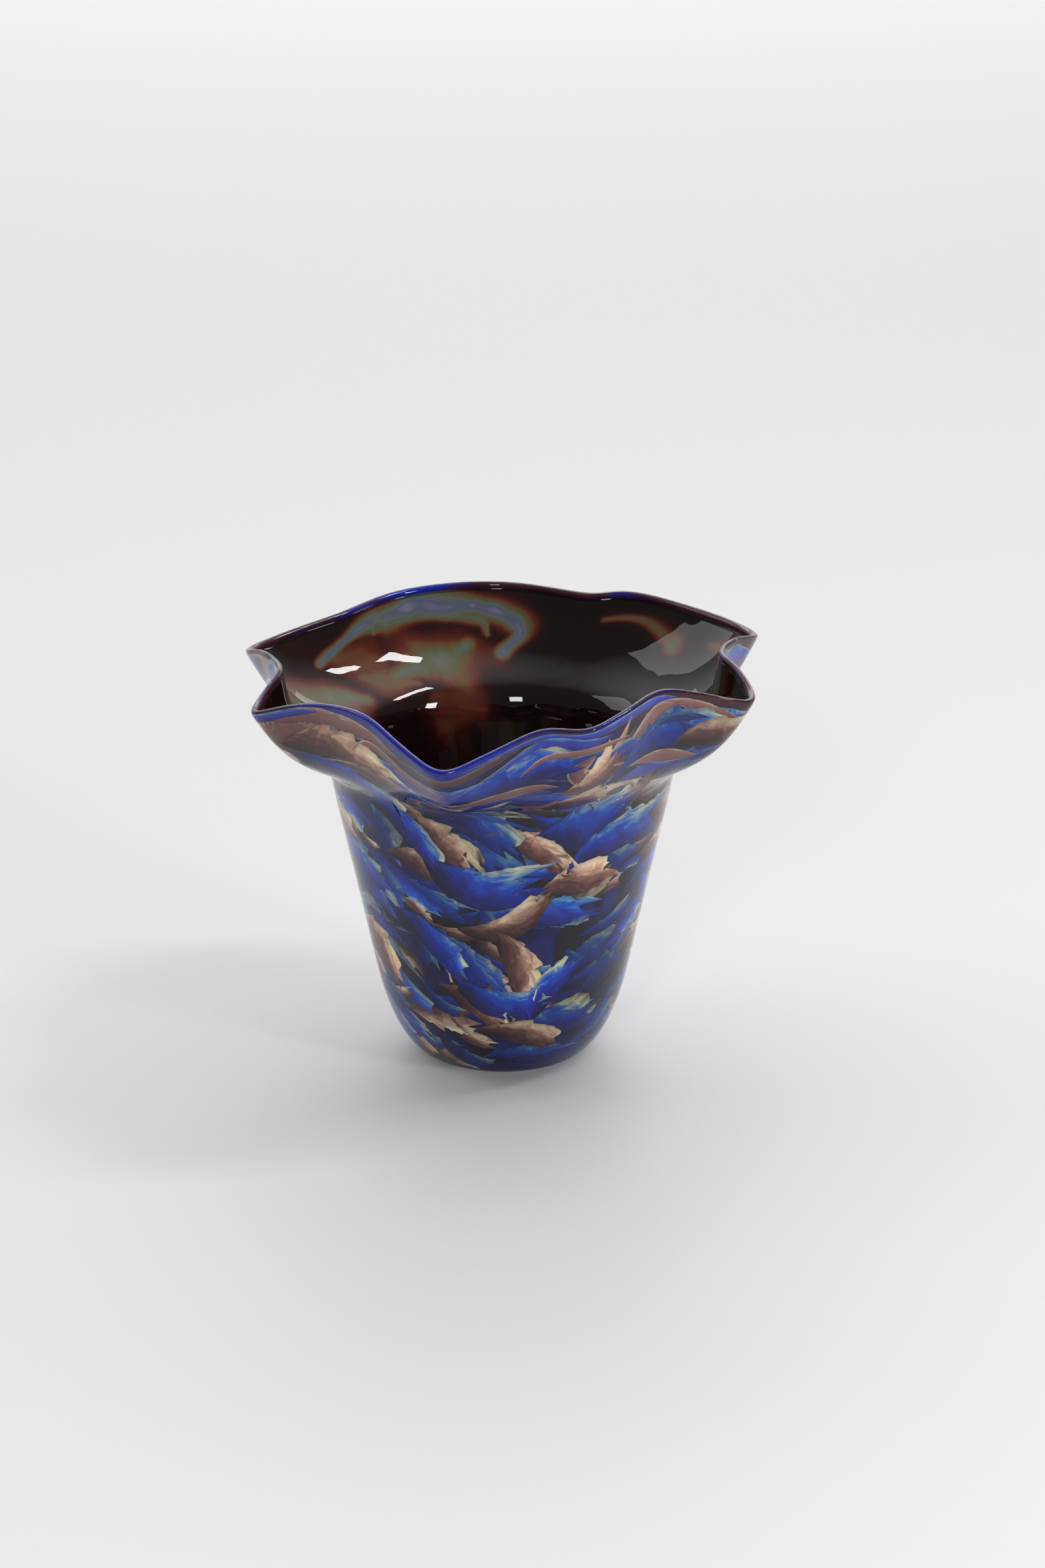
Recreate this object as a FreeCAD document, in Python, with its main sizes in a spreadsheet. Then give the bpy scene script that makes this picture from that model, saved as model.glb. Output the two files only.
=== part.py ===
import FreeCAD, Part
import Sketcher
import math
import os

# A free-standing blown glass vase: a round, slightly conical body that opens into a wide
# flared mouth, folded by hand into lobes and pinches.  Millimetres, +Z up.
# The origin is the middle of the flat foot.  +X is to the right and -Y is the front.

DOCUMENT_NAME = "blown_glass_vase"

# Driving dimensions, kept in the sheet: alias, value and what it is.
DIMENSIONS = [
    ("foot_radius", 38.0, "radius of the flat that the vase stands on"),
    ("neck_radius", 96.0, "outer radius where the flare starts"),
    ("neck_height", 171.0, "height where the flare starts"),
    ("casing_body", 2.6, "clear casing over the body"),
    ("casing_lip", 1.2, "clear casing at the lip"),
    ("liner_body", 2.4, "dark liner in the body"),
    ("liner_lip", 1.8, "dark liner at the lip"),
    ("foot_clear", 6.0, "clear glass under the liner at the foot"),
    ("floor_liner", 11.5, "thickness of the liner's floor"),
    ("foot_blend", 42.0, "height over which the thick foot thins into the wall"),
    ("chip_thickness", 0.5, "thickness of a chip once it is rolled in"),
    ("cobalt_cover", 1.0, "depth from the outside to the middle of a blue chip"),
    ("rose_cover", 1.75, "depth from the outside to the middle of a rose chip"),
    ("seal_radius", 14.0, "radius of the glass left by the punty iron"),
    ("seal_height", 3.0, "depth of the seal's seat in the foot"),
    ("seal_recess", 0.8, "how far the ground seal stays above the surface below"),
    ("seal_bevel", 2.0, "bevel round the ground seal"),
]

# Outer profile of the round body, from the edge of the foot to the neck: radius, height.
BODY_PROFILE = [
    (46.0, 0.0), (53.0, 7.0), (60.0, 19.0), (66.5, 37.0), (71.3, 60.0),
    (77.5, 90.0), (84.0, 120.0), (90.5, 150.0), (93.0, 164.0),
]

# The lip, as its maker left it: angle in degrees, radius and height of each lobe, each
# pinch and the turns between them.  0 is +X and 270 is the front.
LIP_POINTS = [
    (7, 128, 229), (18, 147, 220), (40, 139, 222), (58, 133, 224), (67, 126, 222),
    (92, 137, 222), (114, 137, 221), (134, 130, 218), (148, 138, 214), (162, 147, 212),
    (175, 130, 223), (189, 120, 224), (199, 134, 217), (207, 146, 214), (214, 137, 222),
    (224, 128, 228), (238, 131, 229), (250, 141, 217), (258, 148, 209), (266, 141, 217),
    (279, 130, 228), (289, 133, 226), (299, 127, 231), (314, 119, 235), (326, 131, 227),
    (334, 145, 219), (345, 132, 225), (357, 118, 229),
]

# How the wall bellies out between the neck and the lip: share of the way up, belly in mm.
FLARE_BELLY = [(0.2, 5.0), (0.5, 8.0), (0.8, 4.0)]

# How far each layer's floor draws in over the foot, as a share of the layer's depth.
FLOOR_DRAW = [0.9, 0.55]

COLUMNS = 120          # poles round each wall
CHIP_STEPS = 9         # points along a chip
CHIP_ROWS = 5          # points across a chip
CHIP_BLUNTNESS = 0.3   # width of a chip's ends, as a share of its middle
HALF_STEP = 0.05       # half the step along a wall over which its scale is measured

# Chips that can be told apart on the front: angle in degrees, height on the wall as a
# share of the way from foot to lip, length, width, lean from level and bow.
COBALT_FRONT = [
    (279, 0.63, 34, 15, -12, 2), (250, 0.55, 42, 14, -26, 3), (290, 0.53, 30, 17, 10, -2),
    (256, 0.44, 38, 17, -20, -5), (281, 0.36, 30, 14, 8, 2), (229, 0.50, 34, 13, -34, 2),
    (305, 0.44, 34, 16, 24, 3), (264, 0.27, 34, 15, -24, -4), (289, 0.25, 26, 14, 60, 2),
    (235, 0.33, 34, 14, -40, 2), (268, 0.74, 50, 16, 16, 4), (311, 0.72, 48, 20, 30, 5),
    (243, 0.73, 40, 13, -28, -5),
]
ROSE_FRONT = [
    (288, 0.62, 30, 13, 14, 2), (303, 0.58, 32, 15, 36, -3), (246, 0.62, 34, 13, -8, 2),
    (240, 0.48, 36, 14, -30, 2), (273, 0.47, 36, 12, -22, 2), (265, 0.38, 42, 12, 20, -6),
    (293, 0.40, 32, 17, 14, 2), (268, 0.31, 34, 14, -62, 3), (250, 0.24, 30, 12, -28, 2),
    (272, 0.17, 38, 12, -8, 2), (222, 0.74, 54, 24, -14, 3), (287, 0.73, 36, 16, 40, -4),
    (325, 0.75, 40, 16, 24, 3),
]

# The other chips lie in rings round the sides and the back.
CHIP_RINGS = [0.18, 0.28, 0.39, 0.50, 0.61, 0.75]
RING_COUNT = 7
RING_START = 342.0     # first angle past the front chips
RING_SPAN = 212.0      # angle from the first chip of a ring to the last
RING_WAVE = (2.4, 1.7)   # how fast the first unevenness runs, by ring and by place
RING_OTHER = (1.3, 2.9)  # the same for the second one
RING_MIDDLE = {"length": 36.0, "width": 15.0, "lean": -18.0}
RING_SPREAD = {"angle": 3.0, "height": 0.008, "length": 8.0, "width": 3.0, "lean": 24.0,
               "bow": 4.0}

# Corners of half the seal's section: distance from the axis, height.
SEAL_CORNERS = [(0, 1), (11, 1), (14, 2), (14, 3), (0, 3)]


def add_sheet(doc):
    """Put every driving dimension in the sheet under its alias."""
    sheet = doc.addObject("Spreadsheet::Sheet", "Dimensions")
    for row, (alias, value, meaning) in enumerate(DIMENSIONS, start=1):
        sheet.set("A%d" % row, meaning)
        sheet.set("B%d" % row, str(value))
        sheet.setAlias("B%d" % row, alias)
    doc.recompute()
    return sheet


def lip_at(angle):
    """Radius and height of the lip at an angle, smooth through the lip points."""
    count = len(LIP_POINTS)
    after = 0
    while after < count and LIP_POINTS[after][0] <= angle:
        after += 1
    window = []
    for step in (-2, -1, 0, 1):
        index = after + step
        turn = 360.0 * (index // count)
        point = LIP_POINTS[index % count]
        window.append((point[0] + turn, point[1], point[2]))
    before, start, end, beyond = window
    width = end[0] - start[0]
    share = (angle - start[0]) / width
    result = []
    for axis in (1, 2):
        leave = (end[axis] - before[axis]) / (end[0] - before[0]) * width
        arrive = (beyond[axis] - start[axis]) / (beyond[0] - start[0]) * width
        result.append(hermite(start[axis], end[axis], leave, arrive, share))
    return result


def hermite(start, end, leave, arrive, share):
    """Cubic from start to end with the slopes leave and arrive."""
    square = share * share
    cube = square * share
    return (start * (2 * cube - 3 * square + 1) + leave * (cube - 2 * square + share)
            + end * (3 * square - 2 * cube) + arrive * (cube - square))


def unit(radius, height):
    """Direction of length one in the plane through the axis."""
    size = math.hypot(radius, height)
    return radius / size, height / size


def wall_section(angle, size):
    """Outer profile at one angle: the foot, the body, the flare and the lip."""
    section = [(size["foot_radius"], 0.0)]
    section += BODY_PROFILE
    neck = (size["neck_radius"], size["neck_height"])
    section.append(neck)
    lip = lip_at(angle)
    along = unit(lip[0] - neck[0], lip[1] - neck[1])
    for share, belly in FLARE_BELLY:
        radius = neck[0] + (lip[0] - neck[0]) * share + belly * along[1]
        height = neck[1] + (lip[1] - neck[1]) * share - belly * along[0]
        section.append((radius, height))
    section.append(tuple(lip))
    return section


def inward(section, row):
    """Direction into the glass at one point of a section."""
    if row < len(FLOOR_DRAW):
        return -FLOOR_DRAW[row], 1.0
    before = section[row - 1]
    after = section[min(row + 1, len(section) - 1)]
    along = unit(after[0] - before[0], after[1] - before[1])
    return -along[1], along[0]


def depth_at(row, rows, point, size, body, lip, foot):
    """Depth of a layer under one point: thick at the foot and thin at the lip."""
    first_flare = rows - len(FLARE_BELLY) - 1
    rise = max(0.0, (row - first_flare) / (rows - 1.0 - first_flare))
    depth = body + (lip - body) * rise
    low = max(0.0, 1.0 - point[1] / size["foot_blend"])
    return depth + (foot - body) * low * low * (3.0 - 2.0 * low)


def layer_section(angle, size, body, lip, foot):
    """Profile of a layer that lies inside the outer wall, up to the lip's shoulder."""
    section = wall_section(angle, size)
    rows = len(section)
    shoulder = (size["casing_lip"] + size["liner_lip"]) / 2.0
    points = []
    for row, point in enumerate(section):
        into = inward(section, row)
        depth = depth_at(row, rows, point, size, body, lip, foot)
        points.append((point[0] + into[0] * depth, point[1] + into[1] * depth))
    along = (inward(section, rows - 1)[1], -inward(section, rows - 1)[0])
    last = points[-1]
    points[-1] = (last[0] - along[0] * shoulder, last[1] - along[1] * shoulder)
    return points


def outer_section(angle, size):
    """Outer profile carried over the rounded lip to its inner shoulder."""
    section = wall_section(angle, size)
    thickness = size["casing_lip"] + size["liner_lip"]
    into = inward(section, len(section) - 1)
    lip = section[-1]
    points = layer_section(angle, size, 0.0, 0.0, 0.0)
    points.append(lip)
    points.append((lip[0] + into[0] * thickness, lip[1] + into[1] * thickness))
    points.append(liner_section(angle, size)[-1])
    return points


def boundary_section(angle, size):
    """Profile between the clear casing and the dark liner."""
    return layer_section(angle, size, size["casing_body"], size["casing_lip"],
                         size["foot_clear"])


def liner_section(angle, size):
    """Profile of the inside of the vase."""
    return layer_section(angle, size, size["casing_body"] + size["liner_body"],
                         size["casing_lip"] + size["liner_lip"],
                         size["foot_clear"] + size["floor_liner"])


def rim_section(angle, size):
    """Top edge of the liner, closed over by the casing at the lip."""
    return [boundary_section(angle, size)[-1], liner_section(angle, size)[-1]]


def round_wall(section_of, size, degree=3):
    """Smooth closed wall whose profile at each angle is given by section_of."""
    poles = []
    for column in range(COLUMNS):
        angle = 360.0 * column / COLUMNS
        turn = math.radians(angle)
        poles.append([FreeCAD.Vector(radius * math.cos(turn), radius * math.sin(turn), height)
                      for radius, height in section_of(angle, size)])
    rows = len(poles[0])
    inner_knots = rows - degree - 1
    along_mults = [degree + 1] + [1] * inner_knots + [degree + 1]
    wall = Part.BSplineSurface()
    wall.buildFromPolesMultsKnots(
        poles, [1] * (COLUMNS + 1), along_mults, list(range(COLUMNS + 1)),
        list(range(inner_knots + 2)), True, False, 3, degree)
    return wall


def foot_disc(wall):
    """Flat face that closes the lower edge of a wall."""
    edge = wall.vIso(wall.bounds()[2]).toShape()
    return Part.Face(Part.Wire([edge]))


def closed_solid(faces):
    """Sew faces into one solid with its normals outwards."""
    shell = Part.makeShell(faces)
    shell.sewShape()
    if shell.ShapeType != "Shell":
        shell = shell.Shells[0]
    solid = Part.makeSolid(shell)
    if solid.Volume < 0:
        solid.reverse()
    return solid


def on_wall(wall, turn, rise, depth):
    """Point at a depth under the outer wall."""
    point = wall.value(turn, rise)
    normal = wall.normal(turn, rise)
    if normal.x * point.x + normal.y * point.y - normal.z > 0:
        normal = normal.negative()
    return point + normal * depth


def spacing(one, other):
    """Millimetres of wall for one step of its parameter."""
    return one.distanceToPoint(other) / (2.0 * HALF_STEP)


def chip_patch(wall, chip, depth):
    """Smooth leaf-shaped patch of a chip at one depth under the outer wall."""
    angle, height, length, width, lean, bow = chip
    low, high = wall.bounds()[2], wall.bounds()[3]
    turn = angle / 360.0 * COLUMNS
    rise = low + height * (high - low)
    span_turn = spacing(wall.value(turn + HALF_STEP, rise), wall.value(turn - HALF_STEP, rise))
    span_rise = spacing(wall.value(turn, rise + HALF_STEP), wall.value(turn, rise - HALF_STEP))
    lean = math.radians(lean)
    grid = []
    for step in range(CHIP_STEPS):
        share = 2.0 * step / (CHIP_STEPS - 1) - 1.0
        fullness = 1.0 - share * share
        half = width / 2.0 * (CHIP_BLUNTNESS + (1.0 - CHIP_BLUNTNESS) * fullness)
        line = []
        for row in range(CHIP_ROWS):
            side = 2.0 * row / (CHIP_ROWS - 1) - 1.0
            forward = share * length / 2.0
            sideways = side * half + bow * fullness
            level = forward * math.cos(lean) - sideways * math.sin(lean)
            upright = forward * math.sin(lean) + sideways * math.cos(lean)
            line.append(on_wall(wall, turn + level / span_turn, rise + upright / span_rise, depth))
        grid.append(line)
    patch = Part.BSplineSurface()
    patch.interpolate(grid)
    return patch


def make_chip(wall, chip, cover, thickness):
    """One chip: an outer and an inner patch, and the four narrow sides between them."""
    outer = chip_patch(wall, chip, cover - thickness / 2.0)
    inner = chip_patch(wall, chip, cover + thickness / 2.0)
    faces = [outer.toShape(), inner.toShape()]
    left, right, low, high = outer.bounds()
    for end in (left, right):
        faces.append(Part.makeRuledSurface(outer.uIso(end).toShape(), inner.uIso(end).toShape()))
    for side in (low, high):
        faces.append(Part.makeRuledSurface(outer.vIso(side).toShape(), inner.vIso(side).toShape()))
    return closed_solid(faces)


def ring_chips(first):
    """Chips round the sides and the back; every second one, starting at first."""
    chips = []
    for ring, height in enumerate(CHIP_RINGS):
        for place in range(RING_COUNT):
            if (ring + place) % 2 != first:
                continue
            wave = math.sin(RING_WAVE[0] * ring + RING_WAVE[1] * place)
            other = math.cos(RING_OTHER[0] * ring + RING_OTHER[1] * place)
            angle = RING_START + RING_SPAN * place / (RING_COUNT - 1)
            angle += RING_SPREAD["angle"] * other
            length = RING_MIDDLE["length"] + RING_SPREAD["length"] * wave
            width = RING_MIDDLE["width"] + RING_SPREAD["width"] * other
            lean = RING_MIDDLE["lean"] + RING_SPREAD["lean"] * wave
            rise = height + RING_SPREAD["height"] * wave
            bow = RING_SPREAD["bow"] * other
            chips.append((angle % 360.0, rise, length, width, lean, bow))
    return chips


def with_pockets(solid, chips):
    """The same solid with a closed pocket where each chip lies inside it."""
    pockets = [chip.Shells[0].reversed() for chip in chips]
    return Part.makeSolid(Part.makeCompound([solid.Shells[0]] + pockets))


def add_shape(doc, label, shape):
    """Add a piece whose shape is set here, at the origin."""
    piece = doc.addObject("Part::Feature", label)
    piece.Shape = shape
    piece.Placement = FreeCAD.Placement()
    piece.Label = label
    return piece


def add_seal(doc):
    """The ground and polished glass where the punty iron held the vase: a revolved disc."""
    body = doc.addObject("PartDesign::Body", "punty_seal")
    body.Label = "punty_seal"
    plane = [item for item in body.Origin.OriginFeatures if item.Role == "XZ_Plane"][0]
    sketch = body.newObject("Sketcher::SketchObject", "seal_profile")
    sketch.AttachmentSupport = [(plane, "")]
    sketch.MapMode = "FlatFace"
    corners = len(SEAL_CORNERS)
    for index, corner in enumerate(SEAL_CORNERS):
        start = FreeCAD.Vector(corner[0], corner[1], 0)
        following = SEAL_CORNERS[(index + 1) % corners]
        end = FreeCAD.Vector(following[0], following[1], 0)
        sketch.addGeometry(Part.LineSegment(start, end), False)
    for index in range(corners):
        sketch.addConstraint(Sketcher.Constraint(
            "Coincident", index, 2, (index + 1) % corners, 1))
    sketch.addConstraint(Sketcher.Constraint("Horizontal", 0))
    sketch.addConstraint(Sketcher.Constraint("Vertical", 2))
    sketch.addConstraint(Sketcher.Constraint("Horizontal", 3))
    sketch.addConstraint(Sketcher.Constraint("PointOnObject", 0, 1, -2))
    sketch.addConstraint(Sketcher.Constraint("PointOnObject", 4, 1, -2))
    bound = [("DistanceX", 3, 2, 2, 2, "Dimensions.seal_radius"),
             ("DistanceY", -1, 1, 3, 1, "Dimensions.seal_height"),
             ("DistanceY", -1, 1, 0, 1, "Dimensions.seal_recess"),
             ("DistanceX", 1, 1, 2, 1, "Dimensions.seal_bevel"),
             ("DistanceY", 1, 1, 2, 1, "Dimensions.seal_bevel / 2")]
    for kind, first, first_end, second, second_end, cell in bound:
        number = sketch.addConstraint(Sketcher.Constraint(
            kind, first, first_end, second, second_end, 1.0))
        sketch.setExpression("Constraints[%d]" % number, cell)
    turned = body.newObject("PartDesign::Revolution", "turned_seal")
    turned.Profile = sketch
    turned.ReferenceAxis = (sketch, ["V_Axis"])
    turned.Angle = 360.0
    body.Tip = turned
    return body


def build(doc):
    """Make every piece of the vase."""
    add_sheet(doc)
    sheet = doc.getObject("Dimensions")
    size = {alias: float(sheet.get(alias)) for alias, _, _ in DIMENSIONS}
    outer = round_wall(outer_section, size)
    boundary = round_wall(boundary_section, size)
    inside = round_wall(liner_section, size)
    rim = round_wall(rim_section, size, degree=1)
    cobalt = [make_chip(outer, chip, size["cobalt_cover"], size["chip_thickness"])
              for chip in COBALT_FRONT + ring_chips(0)]
    rose = [make_chip(outer, chip, size["rose_cover"], size["chip_thickness"])
            for chip in ROSE_FRONT + ring_chips(1)]
    casing = closed_solid([outer.toShape(), boundary.toShape(), rim.toShape(),
                           foot_disc(outer), foot_disc(boundary)])
    seat = Part.makeCylinder(size["seal_radius"], size["seal_height"])
    casing = with_pockets(casing.cut(seat).Solids[0], cobalt + rose)
    liner = closed_solid([boundary.toShape(), inside.toShape(), rim.toShape(),
                          foot_disc(boundary), foot_disc(inside)])
    pieces = [
        add_shape(doc, "clear_casing", casing),
        add_shape(doc, "inner_gather", liner),
        add_shape(doc, "cobalt_chips", Part.makeCompound(cobalt)),
        add_shape(doc, "rose_chips", Part.makeCompound(rose)),
        add_seal(doc),
    ]
    doc.recompute()
    return pieces


def check(doc, pieces):
    """Stop if an object failed or a piece isn't a valid solid."""
    for item in doc.Objects:
        if "Invalid" in item.State or "Error" in item.State:
            raise RuntimeError("%s failed to recompute" % item.Name)
    for piece in pieces:
        if piece.Shape.isNull() or not piece.Shape.isValid():
            raise RuntimeError("%s has no valid shape" % piece.Label)
        print("%-14s solids %3d  volume %9.0f mm3  box %s" % (
            piece.Label, len(piece.Shape.Solids), piece.Shape.Volume, piece.Shape.BoundBox))


def main():
    doc = FreeCAD.newDocument(DOCUMENT_NAME)
    pieces = build(doc)
    check(doc, pieces)
    os.makedirs("parts", exist_ok=True)
    for piece in pieces:
        piece.Shape.exportStep("parts/%s.step" % piece.Label)


main()
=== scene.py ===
# %% [markdown]
# # A hand blown glass vase, cased over blue and rose chips
# The frame is the imported CAD model: five bits of glass in one rigid body called "root".
# Everything below is in metres, in that frame: +Z is up and -Y is the front.

# %% The frame and the helpers
import math

import bpy
import numpy as np
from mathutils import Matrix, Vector
from mathutils.bvhtree import BVHTree


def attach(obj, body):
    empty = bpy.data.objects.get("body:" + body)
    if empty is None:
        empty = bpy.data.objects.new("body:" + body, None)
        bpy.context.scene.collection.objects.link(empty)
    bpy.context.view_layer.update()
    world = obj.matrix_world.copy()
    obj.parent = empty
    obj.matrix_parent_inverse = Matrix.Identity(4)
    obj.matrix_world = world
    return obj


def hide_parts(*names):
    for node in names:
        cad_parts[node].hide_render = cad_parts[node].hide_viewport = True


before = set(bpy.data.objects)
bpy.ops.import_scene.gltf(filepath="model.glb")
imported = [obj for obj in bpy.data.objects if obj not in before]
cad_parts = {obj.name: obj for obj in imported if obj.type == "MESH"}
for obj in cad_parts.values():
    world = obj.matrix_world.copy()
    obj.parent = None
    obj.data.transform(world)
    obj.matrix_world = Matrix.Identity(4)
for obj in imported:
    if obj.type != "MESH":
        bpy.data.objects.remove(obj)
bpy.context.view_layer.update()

MM = 0.001
rng = np.random.default_rng(7)
scene = bpy.context.scene
body = "root"


# %% [markdown]
# ## The camera
# The vase is seen from 22 degrees above, from two metres away, through a long lens.  It aims
# a little above and to the right of the vase, so that the vase sits low and left of centre.

# %% Camera
TARGET = Vector((0.0, 0.0, 0.100))
DISTANCE = 2.0
ELEVATION = math.radians(22.0)
ACROSS = 0.0110       # how far the aim moves to the right
UPWARD = 0.0474       # and up, across the line of sight
LENS = 84.6
SENSOR = 36.0

eye = TARGET + DISTANCE * Vector((0.0, -math.cos(ELEVATION), math.sin(ELEVATION)))
up = Vector((0.0, math.sin(ELEVATION), math.cos(ELEVATION)))
aim = TARGET + Vector((ACROSS, 0.0, 0.0)) + UPWARD * up
camera_data = bpy.data.cameras.new("camera")
camera_data.lens = LENS
camera_data.sensor_width = SENSOR
camera = bpy.data.objects.new("camera", camera_data)
camera.location = eye
camera.rotation_euler = (aim - eye).to_track_quat("-Z", "Y").to_euler()
scene.collection.objects.link(camera)
scene.camera = camera
print("camera at", tuple(round(v, 3) for v in eye))


# %% [markdown]
# ## Reading the walls from the frame
# The gloss of blown glass shows every facet, so the walls are made again as smooth grids.
# Rays through the CAD solids find the outside, the face between the two gathers and the
# inside, in one half-plane after another.

# %% Wall grids
COLUMNS = 360
ROWS = 170
FINE = 300           # rays in each half-plane
HEARTH = 0.050       # the rays for the foot start here on the axis
SHOULDER = 0.150     # the rays for the flare start here
REACH = 0.4          # length of a ray


def tree_of(node):
    """Search tree of a CAD node's triangles."""
    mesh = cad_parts[node].data
    points = [v.co.copy() for v in mesh.vertices]
    return BVHTree.FromPolygons(points, [tuple(p.vertices) for p in mesh.polygons])


TREES = {name: tree_of(name) for name in ("clear_casing", "inner_gather")}
print("walls read from", list(TREES))

# %% [markdown]
# ## Finding the lip
# The lip rises and falls all the way round, so a ray at a fixed angle would miss it.  The
# angle of its tip is found by halving: if the ray misses the glass it is aimed lower, and if
# it hits it is aimed higher.

# %% Lip


def ray(station, lip_angle):
    """Start height on the axis and elevation of the ray at a station from 0 to 3."""
    if station < 1.0:
        return HEARTH, -math.pi / 2.0 * (1.0 - station)
    if station < 2.0:
        return HEARTH + (SHOULDER - HEARTH) * (station - 1.0), 0.0
    return SHOULDER, lip_angle * (station - 2.0)


def hit(tree, turn, start_height, elevation, from_outside):
    """Where a ray from the axis meets a solid, looking out or looking back in."""
    direction = Vector((math.cos(turn) * math.cos(elevation), math.sin(turn) * math.cos(elevation),
                        math.sin(elevation)))
    start = Vector((0.0, 0.0, start_height))
    if from_outside:
        return tree.ray_cast(start + direction * REACH, -direction, REACH)[0]
    return tree.ray_cast(start, direction, REACH)[0]


LIP_LOWEST = 15.0
LIP_HIGHEST = 50.0
LIP_HALVINGS = 16


def lip_elevation(turn):
    """Elevation of the lip's tip seen from the shoulder point on the axis."""
    low = math.radians(LIP_LOWEST)
    high = math.radians(LIP_HIGHEST)
    for _ in range(LIP_HALVINGS):
        middle = (low + high) / 2.0
        if hit(TREES["clear_casing"], turn, SHOULDER, middle, True) is None:
            high = middle
        else:
            low = middle
    return low


def round_smooth(values, passes):
    """Even out values round the ring of columns."""
    for _ in range(passes):
        values = values + 0.5 * ((np.roll(values, 1, 0) + np.roll(values, -1, 0)) / 2 - values)
    return values


TURNS = np.arange(COLUMNS) * 2.0 * math.pi / COLUMNS
LIP_ELEVATION = np.array([lip_elevation(t) for t in TURNS])
LIP_ELEVATION = round_smooth(LIP_ELEVATION, 4)
LIP_SHARE = 0.972    # the grids stop just short of the tip, which is rounded later
print("lip seen at", np.round(np.degrees([LIP_ELEVATION.min(), LIP_ELEVATION.max()]), 1), "degrees")

# %% [markdown]
# ## Smooth grids of the walls
# Each half-plane gives a line of hits, which is spaced evenly from foot to lip.  The grid is
# then smoothed in pairs of passes, one that shrinks it and one that swells it back, so that
# the gloss runs clean but the size stays.

# %% Grids


def wall_grid(node, from_outside, first_station):
    """Grid of points on one face of a solid, evenly spaced from foot to lip."""
    grid = np.zeros((COLUMNS, ROWS, 3))
    stations = np.linspace(first_station, 2.0 + LIP_SHARE, FINE)
    for column, turn in enumerate(TURNS):
        line = []
        for station in stations:
            height, elevation = ray(station, LIP_ELEVATION[column])
            place = hit(TREES[node], turn, height, elevation, from_outside)
            if place is not None:
                line.append(place)
        line = np.array(line)
        steps = np.linalg.norm(np.diff(line, axis=0), axis=1)
        length = np.concatenate([[0.0], np.cumsum(steps)])
        wanted = np.linspace(0.0, length[-1], ROWS)
        for axis in range(3):
            grid[column, :, axis] = np.interp(wanted, length, line[:, axis])
    return grid


SHRINK = 0.5
SWELL = -0.52
FAIR_PASSES = 14


def fair(grid):
    """Smooth a wall both ways without shrinking it."""
    for step in range(FAIR_PASSES):
        weight = SHRINK if step % 2 == 0 else SWELL
        around = (np.roll(grid, 1, 0) + np.roll(grid, -1, 0)) / 2 - grid
        along = np.zeros_like(grid)
        along[:, 1:-1] = (grid[:, 2:] + grid[:, :-2]) / 2 - grid[:, 1:-1]
        grid = grid + weight * 0.5 * (around + along)
    return grid


def grid_normals(grid):
    """Normals of a wall grid, pointing away from the axis or down."""
    around = np.roll(grid, -1, 0) - np.roll(grid, 1, 0)
    along = np.gradient(grid, axis=1)
    normals = np.cross(around, along)
    return normals / np.linalg.norm(normals, axis=2, keepdims=True)


FOOT_OUTSIDE = 0.42   # the outside starts at this station, on the foot
FOOT_INSIDE = 0.30    # and the inside at this one, on the floor
OUTER = fair(wall_grid("clear_casing", True, FOOT_OUTSIDE))
INSIDE = fair(wall_grid("inner_gather", False, FOOT_INSIDE))
OUTER_NORMALS = grid_normals(OUTER)


STEP_BACK = 0.0005
DEEPEST = 0.03
SPARE = 0.0018        # the casing's thickness where a ray finds nothing


def beneath(grid, normals, tree):
    """The points straight under a wall on another solid."""
    under = np.zeros_like(grid)
    for column in range(COLUMNS):
        for row in range(ROWS):
            start = Vector(grid[column, row])
            inward = Vector(-normals[column, row])
            place = tree.ray_cast(start + inward * -STEP_BACK, inward, DEEPEST)[0]
            under[column, row] = place if place is not None else start + inward * SPARE
    return under


BETWEEN = fair(beneath(OUTER, OUTER_NORMALS, TREES["inner_gather"]))
print("outer wall", OUTER.shape, "thickness of casing (mm)",
      np.round(np.linalg.norm(OUTER - BETWEEN, axis=2)[:, [0, 60, 120, 165]].mean(0) * 1000, 2))


# %% [markdown]
# ## Turning grids into closed glass
# Each gather is one closed skin: rings of points joined by quads, with a disc at each end.

# %% Ring meshes
def link(name, mesh):
    """A new object at the origin that holds a mesh."""
    piece = bpy.data.objects.new(name, mesh)
    scene.collection.objects.link(piece)
    return piece


def ring_mesh(name, rows, fields=None):
    """Closed skin through rows of points round the axis, with a point at each end."""
    points = np.array(rows)
    count, columns = points.shape[:2]
    flat = points.reshape(-1, 3)
    ends = np.array([points[0].mean(0), points[-1].mean(0)])
    vertices = np.vstack([flat, ends])
    faces = []
    for row in range(count - 1):
        for column in range(columns):
            after = (column + 1) % columns
            faces.append((row * columns + column, row * columns + after,
                          (row + 1) * columns + after, (row + 1) * columns + column))
    first, last = len(flat), len(flat) + 1
    top = (count - 1) * columns
    for column in range(columns):
        after = (column + 1) % columns
        faces.append((first, after, column))
        faces.append((last, top + column, top + after))
    mesh = bpy.data.meshes.new(name)
    mesh.from_pydata(vertices.tolist(), [], faces)
    for label, values in (fields or {}).items():
        flat_values = np.concatenate([np.array(values).reshape(-1), [values[0][0], values[-1][0]]])
        layer = mesh.attributes.new(label, "FLOAT", "POINT")
        layer.data.foreach_set("value", flat_values.astype(np.float32))
    mesh.shade_smooth()
    return mesh


LIP_STEPS = 7


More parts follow.
